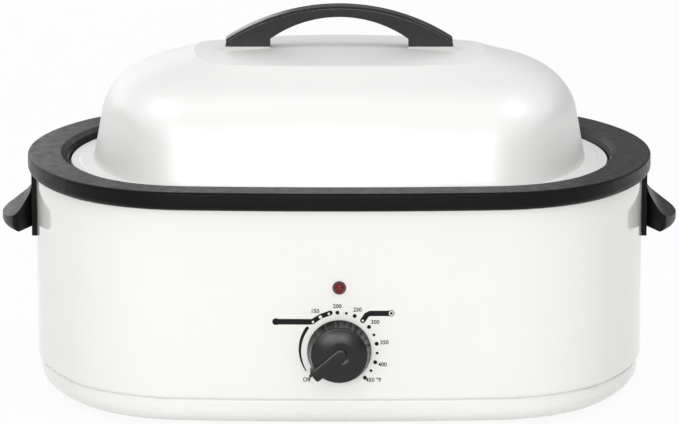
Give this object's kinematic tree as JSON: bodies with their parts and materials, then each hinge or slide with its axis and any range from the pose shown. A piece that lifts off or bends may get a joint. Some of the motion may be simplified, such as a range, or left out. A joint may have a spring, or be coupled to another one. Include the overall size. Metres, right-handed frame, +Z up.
{
  "type": "electric roaster oven",
  "caption": "Countertop electric roaster oven: oval steel body, lift-out pan and wire rack, lift-off domed lid, one temperature dial.",
  "frame": {"origin": "centre of the body's outline on the plane that the feet stand on", "axes": "+Z up, -Y to the front with the dial, +X to the right along the long side"},
  "size_m": [0.59, 0.422, 0.3344],
  "materials": {
    "white_enamel": "gloss baked enamel",
    "black_plastic": "satin moulded",
    "speckled_enamel": "gloss speckled enamel",
    "bare_steel": "satin aluminised",
    "chrome_wire": "polished plated",
    "screw_steel": "zinc plated",
    "red_jewel": "clear moulded",
    "clear_glass": "clear",
    "foot_rubber": "matt",
    "grey_gasket": "matt",
    "glass_wool": "loose fibre",
    "terminal_plastic": "matt",
    "copper_tube": "bare"
  },
  "bodies": {
    "oven": {"base_pan": "white_enamel", "feet": "foot_rubber", "liner_brackets": "bare_steel", "base_screws": "screw_steel", "outer_wall": "white_enamel", "rim_ring": "black_plastic", "inner_liner": "bare_steel", "heater_band_upper": "bare_steel", "heater_band_lower": "bare_steel", "heater_clamp_bolts": "screw_steel", "heater_clamp_nuts": "screw_steel", "insulation_blanket": "glass_wool", "thermostat_body": "terminal_plastic", "thermostat_screws": "screw_steel", "thermostat_capillary": "copper_tube", "bulb_clip": "bare_steel", "thermal_fuse": "bare_steel", "fuse_clip": "bare_steel", "indicator_bezel": "bare_steel", "indicator_lens": "red_jewel", "neon_lamp": "clear_glass", "indicator_clip": "bare_steel", "terminal_block": "terminal_plastic", "terminal_screws": "screw_steel", "earth_screw": "screw_steel", "cord_gland": "black_plastic", "gland_nut": "black_plastic", "side_handle_right": "black_plastic", "side_handle_left": "black_plastic", "side_handle_screws": "screw_steel"},
    "knob": {"control_knob": "black_plastic", "thermostat_shaft": "screw_steel", "knob_spring_clip": "bare_steel"},
    "pan": {"roasting_pan": "speckled_enamel"},
    "rack": {"roasting_rack": "chrome_wire"},
    "lid": {"lid_shell": "white_enamel", "lid_handle": "black_plastic", "lid_handle_gaskets": "grey_gasket", "lid_handle_screws": "screw_steel", "lid_handle_washers": "screw_steel"}
  },
  "joints": [
    {"name": "knob_turn", "type": "hinge", "parent": "oven", "child": "knob", "pos_m": [0, -0.1946, 0.071], "axis": [0, 1, 0], "range_deg": [0, 268]},
    {"name": "pan_lift", "type": "slide", "parent": "oven", "child": "pan", "axis": [0, 0, 1], "range_m": [0, 0.2]},
    {"name": "rack_lift", "type": "slide", "parent": "pan", "child": "rack", "axis": [0, 0, 1], "range_m": [0, 0.2]},
    {"name": "lid_lift", "type": "slide", "parent": "rack", "child": "lid", "axis": [0, 0, 1], "range_m": [0, 0.25]}
  ]
}
